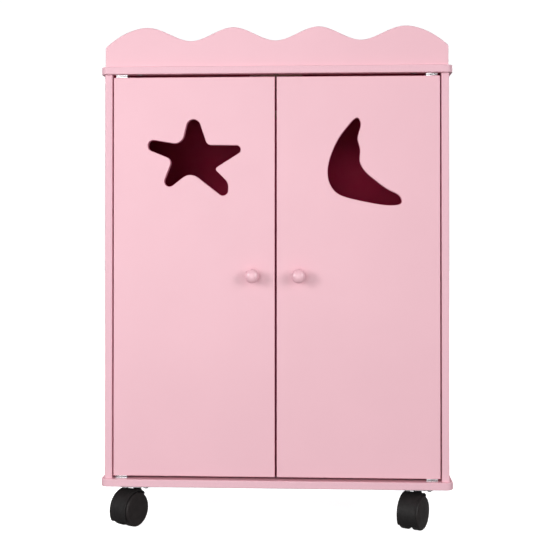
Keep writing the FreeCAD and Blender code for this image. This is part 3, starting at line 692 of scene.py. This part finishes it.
TRAIL = 12
AXLE_HIGH = 18
AXLE_LINE = Matrix.Translation((0, -TRAIL, AXLE_HIGH)) @ Matrix.Rotation(math.pi / 2, 4, "Y")
HOOD_FROM = math.radians(-122)
HOOD_TO = math.radians(50)
HOOD_STEPS = 56
HOOD_SOFT = 0.35
# Where the hood starts to narrow towards the boss, and what is left of its width at the end.
TAPER_FROM = math.radians(12)
TAPER_LEFT = 0.5
# Half of the web's width, with its fillets.
WEB_SIDE = 2.7
# Points that are closer than this are one point.
SLIVER = 0.01

# Half of the hood's section: across from the middle, and out from the axle.
HOOD_SECTION = [
    (0, 20.55),
    (4, 20.54),
    (7.8, 20.48),
    (9.1, 20.45),
    (9.5, 20.62),
    (10.0, 20.72),
    (10.42, 20.52),
    (10.6, 20.05),
    (10.6, 19.6),
    (10.4, 19.16),
    (9.9, 19.0),
    (5, 19.0),
    (2.6, 19.0),
    (2.15, 18.8),
    (2, 18.4),
    (2, 4.6),
]

# About the swivel pin: the boss, and back down its bore.
BOSS = [
    (0, 24),
    (6.4, 24),
    (5.4, 33.5, 3),
    (4.1, 37.4, 3),
    (4.0, 40.5, 0.35),
    (2.25, 40.5),
    (2.25, 35.1),
    (0, 35.1),
]
# About the axle: the room for the wheels that is cut from the boss, and the web's hub.
HOLLOW = [(0, -30), (19.8, -30), (19.8, 30), (0, 30)]
HUB = [(0, -2.2), (5.2, -2.2, 0.3), (5.2, 2.2, 0.3), (0, 2.2)]
AXLE = [(0, -9.9), (1.5, -9.9, 0.3), (1.5, 9.9, 0.3), (0, 9.9)]

# The right wheel: a cup about a hub, open towards the hood's web, with a crowned outer face.
WHEEL = [
    (0, 10.0),
    (1.55, 10.0, 0.2),
    (1.55, 3.0, 0.2),
    (4.0, 3.0, 0.3),
    (4.1, 9.8, 0.8),
    (14.9, 9.8, 0.8),
    (15.0, 3.0, 0.4),
    (18.0, 3.0, 0.8),
    (18.0, 10.1, 1.6),
    (16.9, 11.35, 1.0),
    (15.6, 11.52, 0.4),
    (15.3, 11.3, 0.3),
    (14.9, 11.42, 0.4),
    (9, 11.8, 14),
    (0, 11.95),
]
RIBS = 8
RIB_FROM = 3.9
RIB_TO = 15.2
RIB_HALF = 0.5
RIB_LOW = 4.2
RIB_HIGH = 10.1

PLATE_HALF = 16
PLATE_CORNER = 4
PLATE_LOW = 41.4
PLATE_HIGH = 43
PLATE_HOLE = 3.2
PLATE_HOLE_OUT = 11.5
PLATE_BORE = 4.4
PLATE_SOFT = 0.3


def caster_place(corner):
    """Carries caster millimetres to the corner, at the turn that the record gives its axle."""
    pivot = JOINTS[f"{corner}_caster_swivel"]["pos_m"]
    axle = JOINTS[f"{corner}_left_wheel_roll"]["axis"]
    floor_spot = Matrix.Translation((pivot[0], pivot[1], 0))
    return floor_spot @ Matrix.Rotation(math.atan2(axle[1], axle[0]), 4, "Z") @ Matrix.Scale(MM, 4)


def boolean(first, second, operation):
    """The first mesh with the second joined to it or cut from it, as a bmesh. Both objects are used up."""
    modifier = first.modifiers.new("cut", "BOOLEAN")
    modifier.operation = operation
    modifier.solver = "EXACT"
    modifier.object = second
    bpy.context.view_layer.update()
    evaluated = first.evaluated_get(bpy.context.evaluated_depsgraph_get())
    bm = bmesh.new()
    bm.from_mesh(evaluated.to_mesh())
    evaluated.to_mesh_clear()
    for thing in (first, second):
        bpy.data.objects.remove(thing)
    return bm


def squeezed(x, share):
    """A distance across the hood, with only that share left of what lies beyond the web's side."""
    beyond = abs(x) - WEB_SIDE
    return math.copysign(WEB_SIDE + beyond * share, x) if beyond > 0 else x


def hood_mesh():
    """The hood in caster millimetres: a shell with rolled rims on a web, a hub and the swivel boss."""
    section = HOOD_SECTION + [(-x, r) for x, r in reversed(HOOD_SECTION[1:])]
    shell = bmesh.new()
    loops = []
    for step in range(HOOD_STEPS + 1):
        angle = HOOD_FROM + (HOOD_TO - HOOD_FROM) * step / HOOD_STEPS
        past = min(1, max(0, (angle - TAPER_FROM) / (HOOD_TO - TAPER_FROM)))
        share = TAPER_LEFT + (1 - TAPER_LEFT) * math.sqrt(1 - past**2)
        y, z = math.sin(angle), math.cos(angle)
        loop = [(squeezed(x, share), -TRAIL + r * y, AXLE_HIGH + r * z) for x, r in section]
        loops.append([shell.verts.new(place) for place in loop])
    for low, high in zip(loops, loops[1:]):
        bridge(shell, low, high)
    ends = [shell.faces.new(loops[0]), shell.faces.new(loops[-1])]
    bevel(shell, [edge for face in ends for edge in face.edges], HOOD_SOFT, segments=2)

    boss = bmesh.new()
    turn(boss, rounded(BOSS, closed=False, steps=4), Matrix.Identity(4), 48)
    hollow = bmesh.new()
    turn(hollow, HOLLOW, AXLE_LINE, 72)
    boss = boolean(as_object(boss, "boss"), as_object(hollow, "hollow"), "DIFFERENCE")
    hub = bmesh.new()
    turn(hub, rounded(HUB, closed=False, steps=2), AXLE_LINE, 40)
    whole = boolean(as_object(shell, "shell"), as_object(boss, "boss"), "UNION")
    hood = boolean(as_object(whole, "shell"), as_object(hub, "hub"), "UNION")
    bmesh.ops.remove_doubles(hood, verts=hood.verts, dist=SLIVER)
    bmesh.ops.dissolve_degenerate(hood, dist=SLIVER, edges=hood.edges)
    return hood


def wheel_mesh(sign):
    """The right wheel in caster millimetres for the sign 1, and its mirror image for -1."""
    bm = bmesh.new()
    matrix = AXLE_LINE @ Matrix.Scale(sign, 4, (0, 0, 1))
    turn(bm, rounded(WHEEL, closed=False, steps=4), matrix, 72)
    for index in range(RIBS):
        spoke = matrix @ Matrix.Rotation(2 * math.pi * index / RIBS, 4, "Z")
        rib = [(RIB_FROM, -RIB_HALF), (RIB_TO, -RIB_HALF), (RIB_TO, RIB_HALF), (RIB_FROM, RIB_HALF)]
        low = add_loop(bm, rib, RIB_LOW, spoke)
        high = add_loop(bm, rib, RIB_HIGH, spoke)
        bridge(bm, low, high)
        bm.faces.new(low)
        bm.faces.new(high)
    return bm


def plate_mesh():
    """The caster's top plate in caster millimetres, its outer rims softened."""
    quarters = ((-1, -1), (1, -1), (1, 1), (-1, 1))
    outline = rounded([(x * PLATE_HALF, y * PLATE_HALF, PLATE_CORNER) for x, y in quarters], steps=8)
    places = [(x * PLATE_HOLE_OUT, y * PLATE_HOLE_OUT) for x in (-1, 1) for y in (-1, 1)]
    holes = [circle(PLATE_HOLE, place, 24) for place in places]
    bm = bmesh.new()
    slab(bm, outline, holes + [circle(PLATE_BORE)], PLATE_LOW, PLATE_HIGH, Matrix.Identity(4))

    def is_outer(edge):
        reach = max(abs(vert.co.x) + abs(vert.co.y) for vert in edge.verts)
        least = min(max(abs(vert.co.x), abs(vert.co.y)) for vert in edge.verts)
        return reach > PLATE_HALF and least > PLATE_HALF - PLATE_CORNER + SLIVER

    bevel(bm, [edge for edge in edges_over(bm, SHARP_FROM) if is_outer(edge)], PLATE_SOFT)
    return bm


def carried(source, matrix):
    """A copy of a mesh, moved by the matrix."""
    bm = source.copy()
    bmesh.ops.transform(bm, matrix=matrix, verts=bm.verts)
    return bm


HOOD = hood_mesh()
PLATE = plate_mesh()
ROLLERS = {"left": wheel_mesh(-1), "right": wheel_mesh(1)}
for corner in CORNERS:
    matrix = caster_place(corner)
    pivot = JOINTS[f"{corner}_caster_swivel"]["pos_m"]
    piece(f"{corner}_caster_hood", carried(HOOD, matrix))
    plate_place = Matrix.Translation((pivot[0], pivot[1], 0)) @ Matrix.Scale(MM, 4)
    piece(f"{corner}_caster_plate", carried(PLATE, plate_place))
    for side, roller in ROLLERS.items():
        piece(f"{corner}_caster_{side}_wheel", carried(roller, matrix))
    bm = bmesh.new()
    turn(bm, rounded(AXLE, closed=False, steps=3), matrix @ AXLE_LINE, 32)
    piece(f"{corner}_caster_axle", bm)

# From its foot in the boss to the top of the plate, with a groove and a collar.
SWIVEL_PIN = [(0, 35.2), (2.2, 35.2, 0.4), (2.2, 38.4), (1.8, 38.5), (1.8, 39.1), (2.2, 39.2), (2.2, 40.6)]
SWIVEL_PIN += [(5, 40.6, 0.25), (5, 41.38, 0.1), (2.2, 41.38), (2.2, 43, 0.2), (0, 43)]
bm = bmesh.new()
for corner in CORNERS:
    pivot = JOINTS[f"{corner}_caster_swivel"]["pos_m"]
    turn(bm, rounded(SWIVEL_PIN, closed=False, steps=3), spot((pivot[0], pivot[1], 0)), 40)
piece("caster_swivel_pins", bm)


# ---- CAD nodes that stay get their paint ----

for node in NODES.values():
    if not node.hide_render:
        node.data.materials.clear()
        node.data.materials.append(material_of(node.name))
        for polygon in node.data.polygons:
            polygon.material_index = 0


# ---- stage, lights and camera ----

FLOOR_HALF = 7
TENT_RADIUS = 9
CENTRE = (CAD_BOX[0] + CAD_BOX[1]) / 2

WHITE = (1, 1, 1, 1)
BLACK = (0, 0, 0, 1)
GLOW = {"Emission_Color": WHITE}
floor_look = Look("floor", IOR=1.4, Specular_IOR_Level=0.15, Emission_Strength=0.865, **GLOW)
floor_tone = floor_look.remap(floor_look.noise(2, detail=2), 0.3, 0.7, 0, 1)
floor_look.colour(floor_look.blend(floor_tone, (0.55, 0.55, 0.55), (0.56, 0.56, 0.56)))
floor_look.roughness(floor_look.remap(floor_look.noise(30), 0.3, 0.7, 0.7, 0.8))
bm = bmesh.new()
bmesh.ops.create_grid(bm, x_segments=8, y_segments=8, size=FLOOR_HALF)
floor = as_object(bm, "floor")
floor.data.materials.append(floor_look.material)

# A white tent behind everything. The camera sees it, but it doesn't light the wardrobe.
tent_look = Look("tent", Base_Color=BLACK, Emission_Strength=1.02, **GLOW)
bm = bmesh.new()
bmesh.ops.create_icosphere(bm, subdivisions=4, radius=TENT_RADIUS)
tent = as_object(bm, "tent")
tent.data.materials.append(tent_look.material)
for thing in (floor, tent):
    thing.visible_diffuse = False
    thing.visible_glossy = False
tent.visible_shadow = False

world = bpy.data.worlds.new("studio")
bpy.context.scene.world = world
world.use_nodes = True
background = world.node_tree.nodes["Background"]
background.inputs["Color"].default_value = WHITE
background.inputs["Strength"].default_value = 0.16


def light(name, kind, watts, offset):
    """A light at an offset from the middle of the wardrobe, aimed at it."""
    data = bpy.data.lights.new(name, kind)
    data.energy = watts
    result = bpy.data.objects.new(name, data)
    bpy.context.scene.collection.objects.link(result)
    result.location = CENTRE + Vector(offset)
    result.rotation_euler = (-Vector(offset)).to_track_quat("-Z", "Y").to_euler()
    result.visible_camera = False
    return result


def softbox(name, offset, wide, tall, watts):
    """A rectangular light, its offset and sides in metres."""
    data = light(name, "AREA", watts, offset).data
    data.shape = "RECTANGLE"
    data.size = wide
    data.size_y = tall


softbox("key_left", (-1.1, -1.2, 0.36), 0.57, 0.7, 11)
softbox("fill_right", (1.75, -1.9, 0.57), 0.9, 1.1, 24)
softbox("front", (-0.3, -2.2, 0.45), 0.8, 0.8, 8.2)
softbox("overhead", (-0.2, -0.1, 2.2), 1.4, 1.4, 2)
softbox("low", (-0.2, -2.0, -0.18), 1.2, 0.3, 5)
softbox("rear_left", (-1.7, 1.9, 1.0), 0.9, 1.1, 24)
softbox("rear_right", (1.7, 1.9, 1.0), 0.9, 1.1, 24)

# This one lights only the floor, evenly, and gives it the wardrobe's soft shadow.
floor_light = light("floor_light", "SUN", 1.2, (-0.3, -0.7, 2))
floor_light.data.angle = math.radians(70)
floor_only = bpy.data.collections.new("floor_only")
floor_only.objects.link(floor)
floor_light.light_linking.receiver_collection = floor_only

# Where the photograph was taken from, how far to the left and upwards it looks, and its lens.
CAMERA_AT = (0.0554, -1.1975, 0.3142)
CAMERA_YAW = math.radians(2.785)
CAMERA_PITCH = math.radians(0.5)
LENS = 67.5
camera_data = bpy.data.cameras.new("camera")
camera_data.sensor_width = 36
camera_data.lens = LENS
camera_data.shift_y = -0.1
camera_data.clip_start = 0.05
camera_data.clip_end = 60
camera = bpy.data.objects.new("camera", camera_data)
bpy.context.scene.collection.objects.link(camera)
camera.location = CAMERA_AT
sight = Vector(
    (
        -math.sin(CAMERA_YAW) * math.cos(CAMERA_PITCH),
        math.cos(CAMERA_YAW) * math.cos(CAMERA_PITCH),
        math.sin(CAMERA_PITCH),
    )
)
camera.rotation_euler = sight.to_track_quat("-Z", "Y").to_euler()
bpy.context.scene.camera = camera

settings = bpy.context.scene.view_settings
settings.view_transform = "Standard"
settings.look = "None"
settings.exposure = 0
settings.gamma = 1
